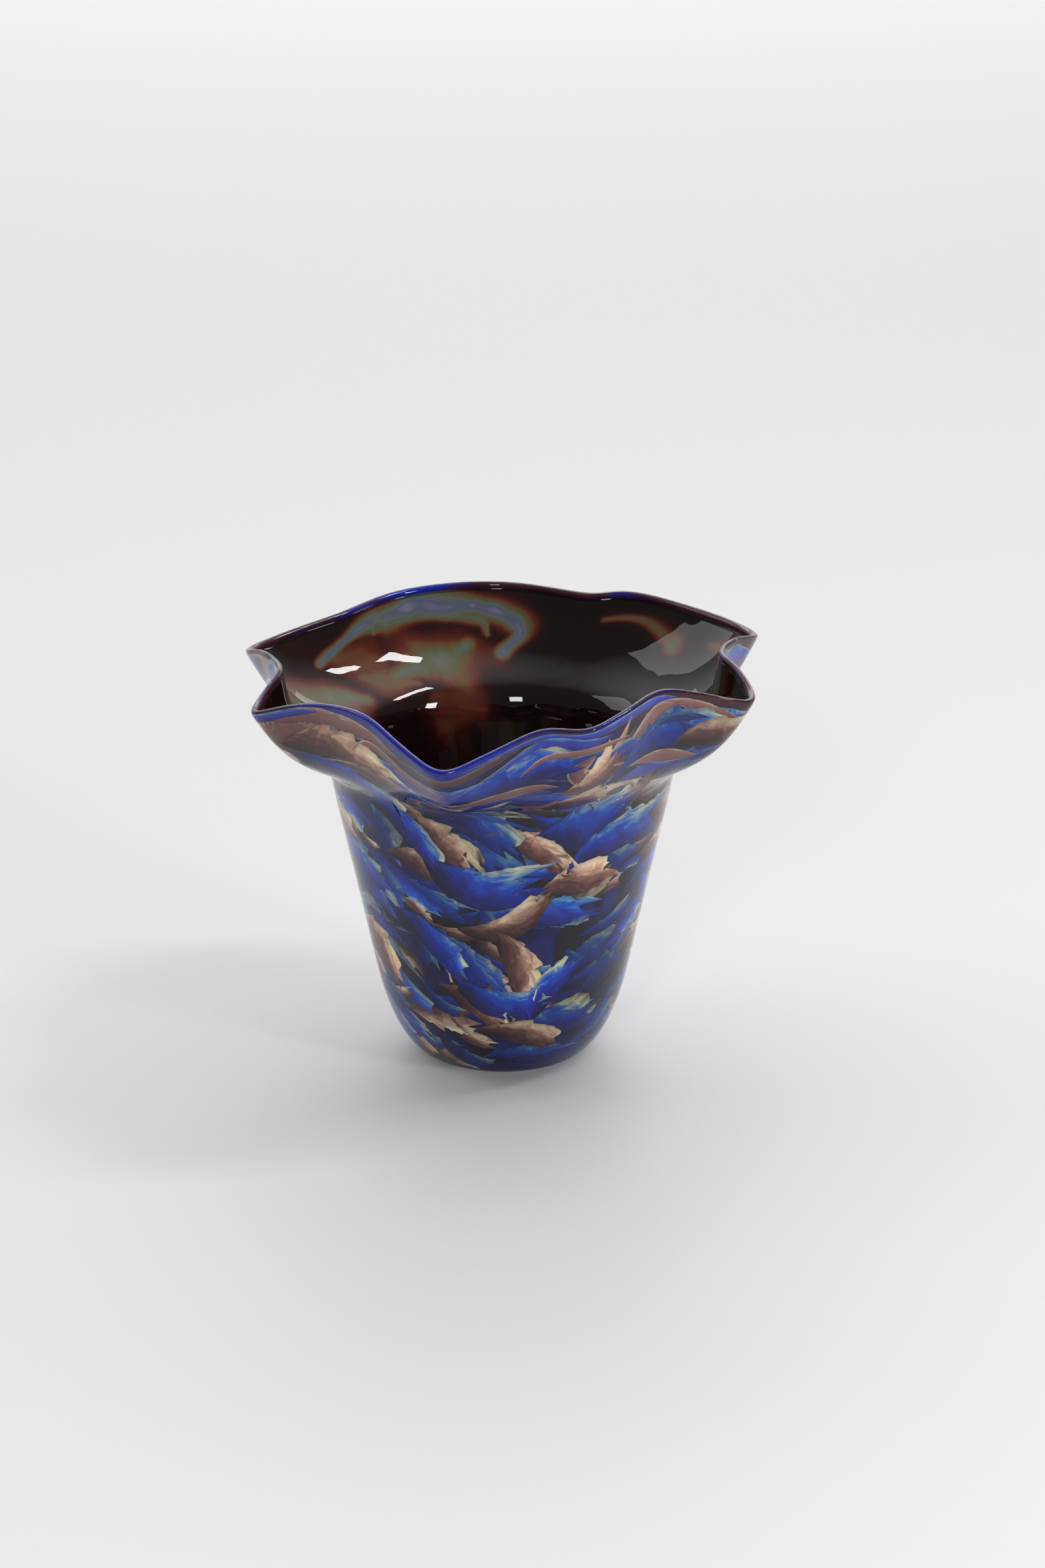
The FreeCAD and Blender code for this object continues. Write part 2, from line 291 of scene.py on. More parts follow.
def lip_rows(outer_last, inner_last, before):
    """Rows that carry the wall over the rounded lip, from the outside to the inside."""
    middle = (outer_last + inner_last) / 2.0
    half = (outer_last - inner_last) / 2.0
    along = outer_last - before
    along = along / np.linalg.norm(along, axis=1, keepdims=True)
    across = half / np.linalg.norm(half, axis=1, keepdims=True)
    along = along - across * (along * across).sum(1, keepdims=True)
    along = along / np.linalg.norm(along, axis=1, keepdims=True)
    reach = np.linalg.norm(half, axis=1, keepdims=True)
    rows = []
    for step in range(1, LIP_STEPS):
        angle = math.pi * step / LIP_STEPS
        rows.append(middle + half * math.cos(angle) + along * reach * math.sin(angle))
    return rows


outer_rows = [OUTER[:, row] for row in range(ROWS)]
inner_rows = [INSIDE[:, row] for row in range(ROWS)]
over_lip = lip_rows(outer_rows[-1], inner_rows[-1], outer_rows[-4])
print("rows over the lip", len(over_lip))


# %% [markdown]
# ## The clear casing
# The last gather is clear.  It covers the chips, wraps over the lip and makes the thick
# foot.  Its inner skin lies a hair inside the dark gather, so that the two never fight.
# Both use the same rows and the same columns, so the hair stays open everywhere.

# %% Casing mesh
HAIR = 0.00010
TUCK = 0.12          # how soon the casing's inner skin leaves the inside of the vase
SHARED_ROWS = list(range(0, ROWS - 1, 2)) + [ROWS - 1]
BETWEEN_NORMALS = grid_normals(BETWEEN)
tucked = BETWEEN - BETWEEN_NORMALS * HAIR
casing_rows = list(outer_rows) + over_lip + [inner_rows[-1], inner_rows[-2]]
casing_rows.append(inner_rows[-2] + (tucked[:, -1] - inner_rows[-2]) * TUCK)
casing_rows += [tucked[:, row] for row in reversed(SHARED_ROWS)]
casing = link("casing_glass", ring_mesh("casing_glass", casing_rows))
print("casing faces", len(casing.data.polygons))


# %% [markdown]
# ## Places on the wall
# A chip is a bit of glass pressed flat into the wall.  Its place is given on the wall's own
# grid: a column round the vase, a row up it, and a depth from the outside to the dark
# gather.  A chip then bends with the wall by itself and can't come through either face.

# %% Places on the wall
MM_ROUND = np.linalg.norm(np.roll(OUTER, -1, 0) - OUTER, axis=2) / MM
MM_ALONG = np.linalg.norm(np.gradient(OUTER, axis=1), axis=2) / MM


def wall_at(column, row, depth):
    """Points between the outside (depth 0) and the dark gather (depth 1)."""
    column = np.mod(column, COLUMNS)
    row = np.clip(row, 0.0, ROWS - 1.001)
    c0 = np.floor(column).astype(int) % COLUMNS
    r0 = np.floor(row).astype(int)
    c1 = (c0 + 1) % COLUMNS
    fc = (column - np.floor(column))[..., None]
    fr = (row - r0)[..., None]
    result = []
    for grid in (OUTER, BETWEEN):
        low = grid[c0, r0] * (1 - fc) + grid[c1, r0] * fc
        high = grid[c0, r0 + 1] * (1 - fc) + grid[c1, r0 + 1] * fc
        result.append(low * (1 - fr) + high * fr)
    depth = depth[..., None]
    return result[0] * (1 - depth) + result[1] * depth


print("a step is", round(float(MM_ROUND.mean()), 2), "mm round and",
      round(float(MM_ALONG.mean()), 2), "mm along")

# %% [markdown]
# ## Reading the chips from the frame
# The frame holds the main chips as smooth leaves, all those of one colour in one node.  They
# are parted by walking over joined triangles, and each is measured: where it lies, how it
# leans, how long and wide it is and how far it bows.

# %% Chips of the frame
def loose_parts(node):
    """The separate solids of a CAD node, each as an array of points."""
    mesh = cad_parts[node].data
    points = np.array([v.co for v in mesh.vertices])
    keys = {}
    same = np.zeros(len(points), int)
    for index, point in enumerate(np.round(points * 1e6).astype(int)):
        same[index] = keys.setdefault(tuple(point), index)
    parent = list(range(len(points)))

    def root_of(item):
        """The point that stands for all those joined to this one."""
        while parent[item] != item:
            parent[item] = parent[parent[item]]
            item = parent[item]
        return item

    for index, first in enumerate(same):
        parent[root_of(index)] = root_of(int(first))
    for polygon in mesh.polygons:
        first = root_of(polygon.vertices[0])
        for vertex in polygon.vertices[1:]:
            parent[root_of(vertex)] = first
    groups = {}
    for index in range(len(points)):
        groups.setdefault(root_of(index), []).append(index)
    return [points[items] for items in groups.values()]


OUTER_TREE = BVHTree.FromPolygons(
    [Vector(p) for p in OUTER.reshape(-1, 3)],
    [(c * ROWS + r, ((c + 1) % COLUMNS) * ROWS + r, ((c + 1) % COLUMNS) * ROWS + r + 1,
      c * ROWS + r + 1) for c in range(COLUMNS) for r in range(ROWS - 1)])


def read_chip(points):
    """Centre, lean, length, width and bow of a chip, laid flat on the wall."""
    middle = Vector(points.mean(0))
    face = OUTER_TREE.find_nearest(middle)[2]
    column, row = face // (ROWS - 1), face % (ROWS - 1)
    per_column, per_row = MM_ROUND[column, row], MM_ALONG[column, row]
    flat = []
    for point in points:
        index = OUTER_TREE.find_nearest(Vector(point))[2]
        gap = (index // (ROWS - 1) - column + COLUMNS / 2) % COLUMNS - COLUMNS / 2
        flat.append((gap * per_column, (index % (ROWS - 1) - row) * per_row))
    flat = np.array(flat)
    flat = flat - flat.mean(0)
    values, vectors = np.linalg.eigh(np.cov(flat.T))
    long_way = vectors[:, 1] if vectors[0, 1] > 0 else -vectors[:, 1]
    short_way = np.array([-long_way[1], long_way[0]])
    along, across = flat @ long_way, flat @ short_way
    length = np.ptp(along)
    width = 2.0 * np.percentile(np.abs(across), 96)
    share = (2.0 * along / length) ** 2
    bow = -np.polyfit(share, across, 1)[0]
    return {"column": column, "row": row, "lean": math.atan2(long_way[1], long_way[0]),
            "length": length, "width": width, "bow": bow}


chips = {"cobalt": [read_chip(p) for p in loose_parts("cobalt_chips")],
         "rose": [read_chip(p) for p in loose_parts("rose_chips")]}
print("chips read", {k: len(v) for k, v in chips.items()})

# %% [markdown]
# ## Torn edges and middle lines
# A chip is a broken flake, so one edge is jagged: a few uneven teeth with finer ones on
# them.  Its middle line is a bow for a chip of the body.  For a ribbon of the flare it is
# a smooth line through a few places.

# %% Outlines and middle lines
FLAKE_LONG = 32
FLAKE_WIDE = 7


def ragged(count, seed, teeth):
    """A torn outline from 0 to 1: a few uneven teeth with finer ones on them."""
    local = np.random.default_rng(seed)
    line = np.zeros(count)
    size = 1.0
    for octave in (1, 3):
        phase = np.cumsum(local.uniform(0.2, 1.8, count)) / count * teeth * octave
        height = local.uniform(0.15, 1.0, 4 * teeth * octave + 4)
        line += size * np.mod(phase, 1.0) * height[phase.astype(int)]
        size *= 0.35
    return line / 1.35


print("a torn edge", np.round(ragged(8, 1, 2), 2))


def chip_path(chip):
    """Middle line of a chip: a bowed line that leans from level."""
    u = np.linspace(-1.0, 1.0, FLAKE_LONG)
    x = u * chip["length"] / 2.0
    y = chip["bow"] * (1.0 - u ** 2)
    cosine, sine = math.cos(chip["lean"]), math.sin(chip["lean"])
    column = chip["column"] + (x * cosine - y * sine) / MM_ROUND[int(chip["column"]), int(chip["row"])]
    row = chip["row"] + (x * sine + y * cosine) / MM_ALONG[int(chip["column"]), int(chip["row"])]
    return np.stack([column, row], axis=1)


def smooth_path(points, count=FLAKE_LONG):
    """Smooth line through a few places given as angle and share of height."""
    places = np.array(points, float)
    places = places * [COLUMNS / 360.0, ROWS - 1.0]
    knots = np.vstack([2 * places[0] - places[1], places, 2 * places[-1] - places[-2]])
    spans = len(places) - 1
    line = []
    for t in np.linspace(0.0, spans - 1e-6, count):
        k = int(t)
        f = t - k
        p0, p1, p2, p3 = knots[k:k + 4]
        line.append(0.5 * (2 * p1 + (p2 - p0) * f + (2 * p0 - 5 * p1 + 4 * p2 - p3) * f * f
                           + (3 * p1 - p0 - 3 * p2 + p3) * f ** 3))
    return np.array(line)


# %% [markdown]
# ## The shape of one flake
# Hot glass was dragged as the vase turned, so a flake starts as a point, grows to a full
# width and ends torn.  It is a leaf of two grids of points, a front and a back, a little
# deeper at its thin end.  Numbers stored on it later carry its colours: one runs along it,
# and one runs from a painted highlight at the torn edge to painted shade.

# %% One flake
def width_of(flake, fullness):
    """Half width along a flake, with a hair left at its thin end."""
    return flake["width"] * (0.03 + 0.47 * fullness)


def flake_points(flake):
    """One flake as two grids of points, with its own coordinates along and across."""
    path = flake["path"]
    seed = flake["seed"]
    at_column = np.mod(np.round(path[:, 0]), COLUMNS).astype(int)
    at_row = np.clip(path[:, 1], 1, ROWS - 2).astype(int)
    scale = np.stack([MM_ROUND[at_column, at_row], MM_ALONG[at_column, at_row]], axis=1)
    ahead = np.gradient(path, axis=0) * scale
    ahead = ahead / np.linalg.norm(ahead, axis=1, keepdims=True)
    side = np.stack([-ahead[:, 1], ahead[:, 0]], axis=1)
    u = np.linspace(0.0, 1.0, FLAKE_LONG)
    v = np.linspace(0.0, 1.0, FLAKE_WIDE)
    rag = flake["rag"]
    local = np.random.default_rng(seed + 7)
    blunt = 1.0 - (1.0 - flake["taper"]) * u ** 5
    fullness = np.clip(1.0 - (1.0 - u) ** local.uniform(1.5, 2.6), 0.0, 1.0) ** 0.85 * blunt
    torn = ragged(FLAKE_LONG, seed, 2 + seed % 3) * (0.25 + 0.75 * u)
    worn = ragged(FLAKE_LONG, seed + 99, 2) * u
    top = width_of(flake, fullness) + flake["width"] * rag * torn
    bottom = -width_of(flake, fullness) - flake["width"] * 0.5 * rag * worn
    offset = top[:, None] * (1 - v) + bottom[:, None] * v
    if flake["flip"]:
        offset = -offset
    spikes = local.uniform(0.0, 1.0, FLAKE_WIDE)
    spikes[::2] = spikes[::2] * 0.35
    reach = np.clip((u - 0.55) / 0.45, 0.0, 1.0) ** 2
    drift = flake["width"] * rag * (2.6 * reach[:, None] * spikes[None, :]
                                    + 0.5 * torn[:, None] * (1 - v))
    moved = side[:, None, :] * offset[..., None] + ahead[:, None, :] * drift[..., None]
    column = path[:, 0:1] + moved[..., 0] / scale[:, 0:1]
    row = path[:, 1:2] + moved[..., 1] / scale[:, 1:2]
    depth = flake["depth"] + 0.12 * v[None, :] + 0.10 * (1.0 - u[:, None])
    front = wall_at(column, row, np.clip(depth, 0.05, 0.94))
    back = wall_at(column, row, np.clip(depth + 0.04, 0.08, 0.97))
    length = np.linalg.norm(np.diff(front[:, 2], axis=0), axis=1).sum() / MM
    along = np.tile(u[:, None] * length / 40.0, (1, FLAKE_WIDE))
    # The second number is painted light: low at the painted highlight of the torn edge, high in the
    # painted shade at the far edge and at the thin start; a ribbon's runs straight across it.
    if flake["glaze"] > 0.5:
        highlight_to_shade = np.tile(v, (FLAKE_LONG, 1))
    else:
        highlight_to_shade = 0.62 * v[None, :] + 0.50 * (1.0 - u[:, None]) ** 1.3
    return front, back, along, np.clip(highlight_to_shade, 0.0, 1.0)


print("points in a flake", 2 * FLAKE_LONG * FLAKE_WIDE)

# %% [markdown]
# ## Joining the flakes
# All the flakes of one colour are one mesh, because they are one glass.  Each leaf is closed
# by a strip round its border.  The attributes are written in the same order as the points.

# %% Joining the flakes
def flakes_mesh(name, flakes):
    """All the flakes of one colour in one mesh, each a thin closed leaf."""
    vertices, faces = [], []
    fields = {"along": [], "highlight_to_shade": [], "tone": [], "edge": [], "glaze": []}
    a = FLAKE_LONG
    b = FLAKE_WIDE
    border = [(i, 0) for i in range(a)] + [(a - 1, j) for j in range(1, b)]
    border += [(i, b - 1) for i in range(a - 2, -1, -1)] + [(0, j) for j in range(b - 2, 0, -1)]
    ring = [i * b + j for i, j in border]
    for flake in flakes:
        front, back, u, v = flake_points(flake)
        base = len(vertices)
        second = base + a * b
        vertices.extend(front.reshape(-1, 3).tolist())
        vertices.extend(back.reshape(-1, 3).tolist())
        for _ in range(2):
            fields["along"].extend(u.ravel())
            fields["highlight_to_shade"].extend(v.ravel())
            for label in ("tone", "edge", "glaze"):
                fields[label].extend([flake[label]] * (a * b))
        turn = -1 if flake["flip"] else 1
        for i in range(a - 1):
            for j in range(b - 1):
                p = i * b + j
                quad = (p, p + 1, p + b + 1, p + b)[::turn]
                faces.append(tuple(base + k for k in quad))
                faces.append(tuple(second + k for k in reversed(quad)))
        for here, after in zip(ring, ring[1:] + ring[:1]):
            quad = (base + after, base + here, second + here, second + after)
            faces.append(quad[::turn])
    mesh = bpy.data.meshes.new(name)
    mesh.from_pydata(vertices, [], faces)
    for label, values in fields.items():
        layer = mesh.attributes.new(label, "FLOAT", "POINT")
        layer.data.foreach_set("value", np.array(values, np.float32))
    mesh.shade_smooth()
    return mesh


print("faces in a flake", 2 * (FLAKE_LONG - 1) * (FLAKE_WIDE - 1)
      + 2 * (FLAKE_LONG + FLAKE_WIDE - 2))

# %% [markdown]
# ## Chips over the body
# The chips of the frame come first, nearest to the outside.  More flakes of the same two
# colours lie deeper between them.  They are spread by a rule that never bunches: two
# irrational steps, one round the vase and one up it.  On one side of the lower body the
# rose flakes are left out and the blue ones darkened, a painted shade, so the dark shows there.

# %% Chips over the body
STEP_ROUND = 0.618034
STEP_UP = 0.7548777
STRETCH = {"cobalt": 1.35, "rose": 1.10}
BROADEN = 1.22


def flake(path, width, depth, seed, edge, tone=0.5, rag=0.3, flip=False, glaze=0.0, taper=0.55):
    """A flake: where it runs, how wide, deep and ragged it is, and how its edge looks."""
    return {"path": path, "width": width, "depth": depth, "seed": seed, "edge": edge,
            "tone": tone, "rag": rag, "flip": flip, "glaze": glaze, "taper": taper}


def natural_lean(turn):
    """The way the chips lie: down to the right on the left, and up on the right."""
    return math.radians(-8.0 + 24.0 * math.sin(turn * 2.0 + math.radians(170.0)))


flakes = {"cobalt": [], "rose": []}
for colour, list_of in chips.items():
    for number, chip in enumerate(list_of):
        chip = dict(chip)
        chip["length"] *= STRETCH[colour]
        edge = rng.uniform(0.0, 0.35) if colour == "rose" else rng.uniform(0.0, 1.0)
        depth = rng.uniform(0.12, 0.35)
        flakes[colour].append(flake(chip_path(chip), chip["width"] * BROADEN, depth,
                                    number + 400 * (colour == "rose"), edge,
                                    rng.uniform(0.4, 1.0), rng.uniform(0.3, 0.55)))

BODY_FILL = {"cobalt": 128, "rose": 116}
# Painted shade: in this patch of the lower front the blue flakes are darkened and the rose ones left
# out.
SHADE_FROM = 282
SHADE_TO = 326
SHADE_TOP = 0.46
for colour, count in BODY_FILL.items():
    for number in range(count):
        rosy = colour == "rose"
        column = (number * STEP_ROUND * COLUMNS + rng.uniform(-4, 4) + COLUMNS / 3 * rosy) % COLUMNS
        share = 0.08 + 0.76 * ((number * STEP_UP + 0.37 * rosy) % 1.0)
        shaded = SHADE_FROM < column < SHADE_TO and share < SHADE_TOP
        length = rng.uniform(16, 44) if rosy else rng.uniform(22, 60)
        chip = {"column": column, "row": ROWS * share, "length": length,
                "bow": rng.uniform(-6, 6),
                "lean": natural_lean(column / COLUMNS * 2 * math.pi) + rng.uniform(-0.45, 0.45)}
        edge = rng.uniform(0.0, 0.5) if rosy else rng.uniform(0.0, 1.0)
        tone = rng.uniform(0.0, 1.0) * (0.3 if shaded else 1.0)
        if shaded and rosy:
            continue
        flakes[colour].append(flake(chip_path(chip), length * rng.uniform(0.26, 0.46),
                                    rng.uniform(0.35, 0.72), 1000 + number + 500 * rosy, edge,
                                    tone, rng.uniform(0.3, 0.7), rng.uniform() < 0.15))
print("flakes on the body", {k: len(v) for k, v in flakes.items()})

# %% [markdown]
# ## The stretched chips of the flare
# When the mouth was opened, the chips there stretched into long smooth ribbons that run
# round with the lip.  Each ribbon is a few places, given as angle and share of height, then
# a width in mm, a depth, a share of the cool palette and a brightness.

# %% Ribbons in the flare
RIBBONS = [
    ("rose", [(200, 0.93), (214, 0.925), (232, 0.885)], 36, 0.70, 0.0, 0.6),
    ("rose", [(203, 0.97), (216, 0.975), (232, 0.96), (246, 0.955)], 14, 0.60, 0.1, 0.8),
    ("cobalt", [(195, 0.985), (206, 0.985), (222, 0.985)], 7, 0.40, 0.6, 0.6),
    ("rose", [(231, 0.905), (238, 0.935), (248, 0.915), (258, 0.91)], 9, 0.22, 0.0, 1.0),
    ("cobalt", [(232, 0.885), (244, 0.895), (258, 0.905), (268, 0.92)], 17, 0.38, 0.8, 0.9),
    ("cobalt", [(258, 0.90), (268, 0.93), (280, 0.965), (296, 0.965)], 11, 0.30, 0.9, 0.7),
    ("rose", [(262, 0.87), (269, 0.895), (275, 0.93), (284, 0.95)], 9, 0.42, 0.3, 0.8),
    ("rose", [(274, 0.90), (280, 0.932), (290, 0.947), (302, 0.94)], 5, 0.20, 0.0, 1.0),
    ("rose", [(252, 0.865), (266, 0.855), (284, 0.85)], 9, 0.30, 0.1, 0.9),
    ("cobalt", [(272, 0.885), (285, 0.905), (300, 0.92)], 24, 0.62, 0.5, 0.2),
    ("rose", [(292, 0.93), (288, 0.89), (294, 0.86), (305, 0.86)], 15, 0.40, 0.1, 0.7),
    ("cobalt", [(294, 0.90), (306, 0.91)], 16, 0.30, 0.9, 0.5),
    ("rose", [(301, 0.90), (308, 0.935), (317, 0.97)], 17, 0.30, 0.1, 0.8),
    ("cobalt", [(307, 0.895), (316, 0.93), (326, 0.95)], 10, 0.24, 0.2, 0.0),
    ("cobalt", [(311, 0.875), (324, 0.91), (340, 0.94)], 36, 0.66, 0.7, 0.8),
    ("rose", [(312, 0.975), (322, 0.975), (332, 0.96)], 8, 0.22, 0.1, 0.9),
    ("rose", [(298, 0.835), (312, 0.845), (328, 0.85)], 13, 0.34, 0.2, 0.9),
    ("cobalt", [(282, 0.82), (300, 0.81), (322, 0.82)], 15, 0.44, 0.5, 0.7),
    ("cobalt", [(226, 0.855), (244, 0.85), (262, 0.835), (282, 0.83)], 13, 0.50, 0.5, 0.5),
    ("rose", [(218, 0.86), (230, 0.845), (244, 0.82)], 12, 0.36, 0.2, 0.6),
    ("rose", [(232, 0.965), (246, 0.955), (262, 0.965), (276, 0.985)], 8, 0.66, 0.0, 0.1),
    ("cobalt", [(262, 0.985), (284, 0.985), (306, 0.985), (318, 0.985)], 6, 0.50, 0.4, 0.8),
]
for number, (colour, places, width, depth, edge, tone) in enumerate(RIBBONS):
    flakes[colour].append(flake(smooth_path(places), width, depth, 2000 + number, edge, tone,
                                0.06, False, 1.0, 0.0))

BACK_RIBBONS = 44
for number in range(BACK_RIBBONS):
    colour = "cobalt" if number % 5 < 3 else "rose"
    turn = (340 + (number * STEP_ROUND % 1.0) * 210) % 360
    rise = 0.83 + 0.15 * (number * STEP_UP % 1.0)
    span = rng.uniform(8, 18)
    tilt = rng.uniform(-0.025, 0.025)
    places = [(turn - span, rise - tilt), (turn, rise + rng.uniform(-0.01, 0.01)),
              (turn + span, rise + tilt)]
    flakes[colour].append(flake(smooth_path(places), rng.uniform(9, 24), rng.uniform(0.2, 0.7),
                                2100 + number, rng.uniform(0.0, 0.9), rng.uniform(), 0.08,
                                False, 1.0, 0.0))

cobalt = link("cobalt_flakes", flakes_mesh("cobalt_flakes", flakes["cobalt"]))
rose = link("rose_flakes", flakes_mesh("rose_flakes", flakes["rose"]))
print("flakes", len(flakes["cobalt"]), len(flakes["rose"]), "faces", len(cobalt.data.polygons))

# %% [markdown]
# ## Ghosts of the chips
# Where a chip lies behind thin dark glass, light shining through it shows on the inside.  This
# is painted light: a ghost that glows in the inside's own colour.  A ghost is a soft stroke: a
# line of places, a width in mm and a strength.  The strength goes into a grid that covers the
# inside, and the material turns it into colour.

# %% Ghosts
GHOSTS = [
    ([(146, 0.92), (130, 0.965), (108, 0.97), (92, 0.95), (85, 0.905), (90, 0.85)], 7, 0.95),
    ([(126, 0.945), (108, 0.95), (96, 0.93), (94, 0.895)], 4, 0.75),
    ([(142, 0.92), (126, 0.875)], 14, 0.40),
    ([(124, 0.83), (108, 0.84), (100, 0.87)], 14, 0.72),
    ([(166, 0.86), (152, 0.845), (140, 0.80)], 12, 0.66),
    ([(136, 0.86), (118, 0.79)], 8, 0.50),
    ([(62, 0.95), (51, 0.957), (43, 0.93), (39, 0.91)], 4, 0.52),
    ([(42, 0.925), (40, 0.915)], 4, 0.70),
    ([(114, 0.75), (98, 0.71)], 14, 0.30),
    ([(30, 0.95), (14, 0.955)], 8, 0.35),
]
FRONT_GHOSTS = 26
for number in range(FRONT_GHOSTS):
    turn = 180 + number * 61.8 % 180
    rise = 0.35 + 0.6 * (number * STEP_UP % 1.0)
    GHOSTS.append(([(turn, rise), (turn + 14, rise + 0.02)], 9, rng.uniform(0.25, 0.8)))


GHOST_SAMPLES = 100


def painted_ghost_light():
    """How strongly the painted light of a chip glows through at each place of the inside."""
    glow = np.zeros((COLUMNS, ROWS))
    columns = np.arange(COLUMNS)[:, None]
    rows = np.arange(ROWS)[None, :]
    turn = columns / COLUMNS * 2.0 * math.pi
    ripple = 1.0 + 0.22 * np.sin(9 * turn + rows / 9.0) + 0.18 * np.sin(17 * turn - rows / 5.0)
    round_mm = np.linalg.norm(np.roll(INSIDE, -1, 0) - INSIDE, axis=2) / MM
    along_mm = np.linalg.norm(np.gradient(INSIDE, axis=1), axis=2) / MM
    for places, width, peak in GHOSTS:
        path = smooth_path(places, GHOST_SAMPLES)
        strength = np.zeros((COLUMNS, ROWS))
        for step, (column, row) in enumerate(path):
            swell = 0.45 + 0.85 * math.sin(math.pi * (step + 2) / (len(path) + 3)) ** 2
            gap = (columns - column + COLUMNS / 2) % COLUMNS - COLUMNS / 2
            away = np.hypot(gap * round_mm, (rows - row) * along_mm) / (width * swell)
            strength = np.maximum(strength, peak * np.exp(-(away * ripple) ** 2))
        glow = np.maximum(glow, strength)
    return glow


GLOW = painted_ghost_light()
print("ghosts", len(GHOSTS), "strongest", round(float(GLOW.max()), 2))

# %% [markdown]
# ## The dark gather
# The inside of the vase and the ground behind the chips are one bubble of nearly black plum
# glass.  It stops a little below the lip's tip, where only clear glass is left.

# %% Gather mesh
RIM_DROP = 0.30
RIM_LIFT = 0.04
RIM_SLIM = 0.86      # the dark core of the lip is this much thinner than the lip
GLOW_START = 0.955   # above this share of the height the lip's own colours begin
GLOW_SPAN = 0.02
rim_outer = BETWEEN[:, -1] + (outer_rows[-1] - BETWEEN[:, -1]) * RIM_DROP
rim_inner = inner_rows[-1] + (outer_rows[-1] - inner_rows[-1]) * RIM_LIFT
rim_rows = [row * RIM_SLIM + (rim_outer + rim_inner) * (0.5 - RIM_SLIM / 2)
            for row in lip_rows(rim_outer, rim_inner, outer_rows[-4])]
gather_rows = [BETWEEN[:, row] for row in SHARED_ROWS] + rim_rows
inner_order = list(range(ROWS - 1, -1, -1))
gather_rows += [inner_rows[row] for row in inner_order]
near_lip = [np.full(COLUMNS, max(0.0, (row / (ROWS - 1.0) - GLOW_START) / GLOW_SPAN))
            for row in SHARED_ROWS]
near_lip += [np.full(COLUMNS, 2.0)] * len(rim_rows)
glow = near_lip + [GLOW[:, row] for row in inner_order]
gather = link("dark_gather", ring_mesh("dark_gather", gather_rows, {"glow": glow}))
outside_faces = COLUMNS * (len(SHARED_ROWS) + len(rim_rows))
print("gather faces", len(gather.data.polygons))


# %% [markdown]
# ## Seeds
# A few tiny bubbles are caught in the clear casing.  Their places are scattered over the
# wall at a fixed seed, and each place stores how big its bubble is.  One larger bubble sits
# low on the front.

# %% Places of the seeds
SEED_COUNT = 90
seed_columns = rng.uniform(0, COLUMNS, SEED_COUNT)
seed_rows = rng.uniform(14, ROWS - 12, SEED_COUNT)
seed_columns[0], seed_rows[0] = 268.0, 0.30 * ROWS
seed_places = wall_at(seed_columns, seed_rows, rng.uniform(0.10, 0.22, SEED_COUNT))
seed_mesh = bpy.data.meshes.new("seed_places")
seed_mesh.from_pydata(seed_places.tolist(), [], [])
sizes = seed_mesh.attributes.new("bead_size", "FLOAT", "POINT")
radii = rng.uniform(0.00010, 0.00022, SEED_COUNT)
radii[0] = 0.00055
sizes.data.foreach_set("value", radii.astype(np.float32))
print("seeds", SEED_COUNT, "largest", round(float(radii.max()) / MM, 2), "mm in radius")

# %% [markdown]
# ## A node tree for the seeds
# Geometry Nodes put one small sphere at each place.  The tree ends by making the instances
# real and giving them their glass, and the result is kept as a plain mesh.

# %% Seeds by Geometry Nodes

FACETS = 2


def seed_group():
    """Node tree that puts a sphere of the stored radius on every point."""
    group = bpy.data.node_groups.new("seeds", "GeometryNodeTree")
    group.interface.new_socket("Geometry", in_out="INPUT", socket_type="NodeSocketGeometry")
    group.interface.new_socket("Facets", in_out="INPUT", socket_type="NodeSocketInt")
    group.interface.new_socket("Glass", in_out="INPUT", socket_type="NodeSocketMaterial")
    group.interface.new_socket("Geometry", in_out="OUTPUT", socket_type="NodeSocketGeometry")
    entry = group.nodes.new("NodeGroupInput")
    leave = group.nodes.new("NodeGroupOutput")
    ball = group.nodes.new("GeometryNodeMeshIcoSphere")
    ball.inputs["Radius"].default_value = 1.0
    radius = group.nodes.new("GeometryNodeInputNamedAttribute")
    radius.data_type = "FLOAT"
    radius.inputs["Name"].default_value = "bead_size"
    points = group.nodes.new("GeometryNodeMeshToPoints")
    spread = group.nodes.new("GeometryNodeInstanceOnPoints")
    real = group.nodes.new("GeometryNodeRealizeInstances")
    smooth = group.nodes.new("GeometryNodeSetShadeSmooth")
    paint = group.nodes.new("GeometryNodeSetMaterial")
    group.links.new(entry.outputs["Geometry"], points.inputs["Mesh"])
    group.links.new(entry.outputs["Facets"], ball.inputs["Subdivisions"])
    group.links.new(points.outputs["Points"], spread.inputs["Points"])
    group.links.new(ball.outputs["Mesh"], spread.inputs["Instance"])
    group.links.new(radius.outputs["Attribute"], spread.inputs["Scale"])
    group.links.new(spread.outputs["Instances"], real.inputs["Geometry"])
    group.links.new(real.outputs["Geometry"], smooth.inputs["Geometry"])
    group.links.new(smooth.outputs["Geometry"], paint.inputs["Geometry"])
    group.links.new(entry.outputs["Glass"], paint.inputs["Material"])
    group.links.new(paint.outputs["Geometry"], leave.inputs["Geometry"])
    return group


def scatter_seeds(material):
    """The seeds as one plain mesh piece."""
    holder = link("seed_holder", seed_mesh)
    group = seed_group()
    modifier = holder.modifiers.new("seeds", "NODES")
    modifier.node_group = group
    named = {item.name: item.identifier for item in group.interface.items_tree
             if item.in_out == "INPUT"}
    modifier[named["Facets"]] = FACETS
    modifier[named["Glass"]] = material
    bpy.context.view_layer.update()
    evaluated = holder.evaluated_get(bpy.context.evaluated_depsgraph_get())
    mesh = bpy.data.meshes.new_from_object(evaluated)
    mesh.name = "glass_seeds"
    bpy.data.objects.remove(holder)
    return link("glass_seeds", mesh)


